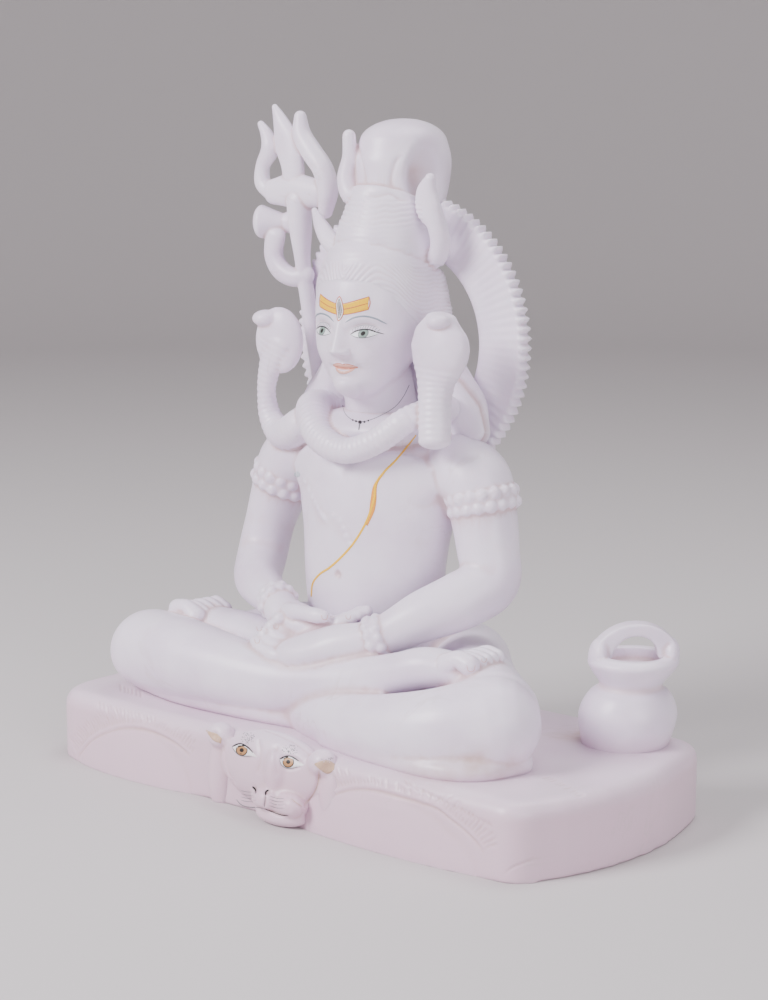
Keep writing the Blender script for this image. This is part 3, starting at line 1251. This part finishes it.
def addFilm(bm, cast, low, high, layer, finish, columns=24, rows=3):
    # a film between two tracks of spots that run the same way
    low, high = np.asarray(low, float), np.asarray(high, float)
    grid = bmesh.ops.create_grid(bm, x_segments=columns, y_segments=rows, size=1)["verts"]
    out = {}
    for vert in grid:
        u, v = (vert.co.x + 1) / 2, (vert.co.y + 1) / 2
        place, normal = cast(onTrack(low, u) * (1 - v) + onTrack(high, u) * v)
        if place is None:
            print("film off the stone:", finish, low[0], flush=True)
            bmesh.ops.delete(bm, geom=grid, context="VERTS")
            return
        vert.co = place + normal * (film["lift"] + layer * film["layer"])
        out[vert] = normal
    faces = list({patch for vert in grid for patch in vert.link_faces})
    facing = 0.0
    for patch in faces:
        patch.normal_update()
        patch.material_index = list(paints).index(finish)
        patch.smooth = True
        facing += patch.normal.dot(out[patch.verts[0]])
    if facing < 0:
        bmesh.ops.reverse_faces(bm, faces=faces)


def addStroke(bm, cast, track, width, layer, finish, thin=0.25, columns=28):
    # a brush stroke that thins towards its ends
    spots = smoothTrack(track, columns + 1)
    ahead = np.gradient(spots, axis=0)
    ahead /= np.maximum(np.linalg.norm(ahead, axis=1), 1e-6)[:, None]
    along = np.linspace(0, 1, columns + 1)
    half = width / 2 * (thin + (1 - thin) * np.clip(np.minimum(along, 1 - along) / 0.2, 0, 1) ** 0.6)
    across = np.stack([-ahead[:, 1], ahead[:, 0]], 1) * half[:, None]
    addFilm(bm, cast, spots - across, spots + across, layer, finish, columns, 2)


def heightOf(track):
    # gives the height of a track at any place across it
    track = track if track[0, 0] < track[-1, 0] else track[::-1]
    return lambda x: np.interp(x, track[:, 0], track[:, 1])


def discTracks(middle, radius, count=14, floor=None, ceiling=None):
    # lower and upper edge of a round spot, cut off by the lids where they are given
    turn = np.linspace(0.03, math.pi - 0.03, count)
    x, half = middle[0] - radius * np.cos(turn), radius * np.sin(turn)
    low, high = middle[1] - half, middle[1] + half
    if floor is not None:
        low, high = np.maximum(low, floor(x)), np.minimum(high, ceiling(x))
    return np.stack([x, low], 1), np.stack([x, np.maximum(high, low + 0.03)], 1)


def paintFace(bm, cast):
    eye = face["eye"]
    for side in (-1, 1):
        low, high = eyeTracks(side)
        addFilm(bm, cast, low, high, 0, "eyeWhite", 24, 6)
        middle = (side * eye["across"], eye["height"] + 0.9)
        for radius, layer, finish in (
            (eye["iris"], 1, "soot"), (eye["iris"] - 0.5, 2, "iris"), (eye["pupil"], 3, "black"),
        ):
            disc = discTracks(middle, radius, 16, heightOf(low), heightOf(high))
            addFilm(bm, cast, *disc, layer, finish, 16, 6)
        tail = high[-1] + (side * 3.2, -0.3)
        addStroke(bm, cast, np.vstack([high[::3], [tail]]), 1.15, 4, "black", 0.2)
        addStroke(bm, cast, low[1:-1:3], 0.5, 4, "soot", 0.5)
        addStroke(bm, cast, high[2:-1:3] + (0, 3.7), 0.45, 0, "brow", 0.3)
        for place in range(11):
            root = high[2 + 2 * place] + (0, 0.6)
            lean = side * (place - 3.5)
            lash = [root, root + (lean * 0.08, 1.4), root + (lean * 0.22, 2.6)]
            addStroke(bm, cast, lash, 0.28, 0, "soot", 0.3, 4)
        brow = [(6, 357.6), (13, 361.8), (23, 363.6), (32, 361.4), (38.5, 356.6)]
        addStroke(bm, cast, [(side * x, z) for x, z in brow], 1.4, 1, "brow", 0.2)
        paintForehead(bm, cast, side)
    almond = np.linspace(0.02, math.pi - 0.02, 18)
    for half, tall, layer, finish in ((4.4, 11, 2, "red"), (3.6, 10, 3, "white"), (2.0, 8.6, 4, "black"),
                                      (1.2, 7.6, 5, "white"), (0.7, 6.4, 6, "soot")):
        z = 369.5 - tall * np.cos(almond)
        x = half * np.sin(almond) ** 1.3 + 0.02
        addFilm(bm, cast, np.stack([-x, z], 1), np.stack([x, z], 1), layer, finish, 18, 4)
    across = np.linspace(-face["mouth"]["half"] + 0.6, face["mouth"]["half"] - 0.6, 25)
    share = across / face["mouth"]["half"]
    line = mouthLine(across)
    top = line + 4.3 * (1 - share ** 2) ** 0.8 - 1.1 * np.exp(-(across / 2.0) ** 2) + 0.05
    under = line - 5.0 * np.clip(1 - (across / 11.2) ** 2, 0, 1) ** 0.75 - 0.05
    addFilm(bm, cast, np.stack([across, line], 1), np.stack([across, top], 1), 0, "lips", 24, 4)
    addFilm(bm, cast, np.stack([across, under], 1), np.stack([across, line], 1), 0, "lips", 24, 4)
    addStroke(bm, cast, np.stack([across, line], 1)[::2], 0.9, 1, "red", 0.5)
    addStroke(bm, cast, np.stack([across, top], 1)[::2], 0.45, 1, "red", 0.5)


def paintForehead(bm, cast, side):
    # two yellow bands with red outlines on each side of the painted third eye
    across = np.linspace(3.4, 26, 12)
    low = 364.3 + 5.2 * ((across - 3.4) / 22.6) ** 1.3
    high = low + 9.6 + 1.6 * (across - 3.4) / 22.6
    tracks = [np.stack([side * across, low + (high - low) * share], 1) for share in (0, 0.5, 1)]
    addFilm(bm, cast, tracks[0], tracks[2], 0, "yellow", 24, 8)
    for track in tracks:
        addStroke(bm, cast, track, 0.75, 1, "red", 0.6)
    ends = [tracks[0][-1], tracks[1][-1] + (side * 1.2, 0), tracks[2][-1]]
    addStroke(bm, cast, ends, 0.75, 1, "red", 0.6, 10)


def paintTiger(bm, cast):
    for low, high, centre in strokes["tigerEyes"]:
        low, high = smoothTrack(low, 20), smoothTrack(high, 20)
        addFilm(bm, cast, low, high, 0, "white", 20, 5)
        for radius, layer, finish in strokes["tigerDiscs"]:
            # pixels count downwards, so the lower lid has the greater numbers
            disc = discTracks(centre, radius, 14, heightOf(high), heightOf(low))
            addFilm(bm, cast, *disc, layer, finish, 14, 5)
        addStroke(bm, cast, high[::4], 1.5, 4, "black", 0.3)
        addStroke(bm, cast, low[::4], 0.6, 4, "soot", 0.4)
    for track, width, finish in strokes["tigerLines"]:
        addStroke(bm, cast, track, width, 0, finish, 0.4)
    for low, high in strokes["tigerEars"]:
        addFilm(bm, cast, smoothTrack(low, 12), smoothTrack(high, 12), 0, "tan", 12, 5)
    for (x, y), (wide, tall), count in strokes["freckles"]:
        for _ in range(count):
            turn, reach = random.uniform(0, 2 * math.pi), math.sqrt(random.random())
            spot = (x + wide * reach * math.cos(turn), y + tall * reach * math.sin(turn))
            radius = random.uniform(*strokes["freckleSize"])
            addFilm(bm, cast, *discTracks(spot, radius, 5), 0, "soot", 4, 2)
    for left, top, right, slope in strokes["whiskers"]:
        for row in range(4):
            height = top + strokes["whiskerStep"] * row
            track = [(left, height), ((left + right) / 2, height + slope * 0.9), (right, height + slope)]
            addStroke(bm, cast, track, 0.4, 0, "soot", 0.3, 8)


def paintBody(bm, cast):
    addStroke(bm, cast, strokes["thread"], 2.1, 1, "yellow", 0.5, 140)
    left, right = smoothTrack(strokes["threadLeft"], 30), smoothTrack(strokes["threadRight"], 30)
    addFilm(bm, cast, left, right, 0, "orange", 30, 3)
    addStroke(bm, cast, strokes["string"], 0.55, 0, "soot", 0.9, 70)
    for x, y, radius in strokes["stringBeads"]:
        addFilm(bm, cast, *discTracks((x, y), radius, 10), 1, "black", 10, 4)
    addStroke(bm, cast, strokes["pendant"], 1.3, 1, "soot", 0.6, 8)
    for x, y in body["nipples"][:1]:
        addFilm(bm, cast, *discTracks((x, y), 3.0, 12), 0, "pale", 12, 5)
    for x, y, half in strokes["nails"]:
        arc = [(x + half * across, y + half * down) for across, down in strokes["nailArc"]]
        addStroke(bm, cast, arc, 0.6, 0, "nail", 0.5, 12)


def buildPaint():
    bm = bmesh.new()
    paintFace(bm, straightOn(treeOf(facePiece.data), head["turn"]))
    print("face painted", flush=True)
    paintTiger(bm, seenFrom(treeOf(tigerPiece.data, rockPiece.data)))
    paintBody(bm, seenFrom(treeOf(figure.data, facePiece.data)))
    mesh = meshFrom(bm, "painted_marks", turnOut=False)
    for finish in paints.values():
        mesh.materials.append(finish)
    thicken = ("SOLIDIFY", {"thickness": film["depth"] / 1000, "offset": -1})
    made = throughModifiers(mesh, thicken, ("TRIANGULATE", {}))
    made.name = "painted_marks"
    marks = placed("painted_marks", made)
    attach(marks, "root")
    print("painted_marks", len(made.polygons), "triangles", flush=True)


buildPaint()

# Stage: floor that rises into a wall all round, soft light and the camera of the photograph
stage = {
    "floor": "#CFCACA", "roughness": 0.7, "reach": 5200, "wall": 2600, "sweep": 1500,
    "air": "#F2EFF3", "airStrength": 0.55,
    # place and aim in metres, width, power and tint of each soft light
    "lights": {
        "key": ((-0.9, -2.3, 1.9), (0, 0, 0.25), 1.3, 120, (0.98, 0.955, 1.0)),
        "fill": ((2.2, -1.0, 0.9), (0, 0, 0.25), 1.6, 30, (0.95, 0.94, 1.0)),
        "top": ((0.3, 0.6, 2.4), (0, 0, 0.2), 1.4, 28, (0.98, 0.965, 1.0)),
    },
}


def buildStage():
    bm = bmesh.new()
    reach, sweep = stage["reach"], stage["sweep"]
    profile = [(0.001, 0, 0), ((reach - sweep) / 1000, 0, 0)]
    for step in range(1, 9):
        turn = step / 8 * math.pi / 2
        across, up = reach - sweep * (1 - math.sin(turn)), sweep * (1 - math.cos(turn))
        profile.append((across / 1000, 0, up / 1000))
    profile.append((reach / 1000, 0, (sweep + stage["wall"]) / 1000))
    spun(bm, profile, (0, 0, 1), 96)
    bmesh.ops.recalc_face_normals(bm, faces=bm.faces)
    mesh = bpy.data.meshes.new("floor")
    bm.to_mesh(mesh)
    bm.free()
    mesh.shade_smooth()
    mesh.materials.append(newFinish("painted_floor", colour(stage["floor"]), stage["roughness"])[0])
    floor = placed("floor", mesh)


def aimed(obj, place, way):
    # puts a light or the camera in its place and turns it to look this way
    obj.location = place
    obj.rotation_mode = "QUATERNION"
    obj.rotation_quaternion = way.to_track_quat("-Z", "Y")


buildStage()
for name, (place, aim, size, power, tint) in stage["lights"].items():
    lamp = bpy.data.lights.new(name, "AREA")
    lamp.shape, lamp.size, lamp.energy, lamp.color = "DISK", size, power, tint
    aimed(placed(name, lamp), place, Vector(aim) - Vector(place))
world.world = bpy.data.worlds.new("studio")
world.world.use_nodes = True
air = world.world.node_tree.nodes["Background"].inputs
air["Color"].default_value, air["Strength"].default_value = colour(stage["air"]), stage["airStrength"]

lens = bpy.data.cameras.new("camera")
lens.sensor_width = 36
lens.lens = view["pixelFocus"] / view["height"] * lens.sensor_width
lens.clip_start, lens.clip_end = 0.05, 50
world.camera = placed("camera", lens)
aimed(world.camera, Vector(view["place"]) / 1000, lookingWay())

print("scene ready", flush=True)
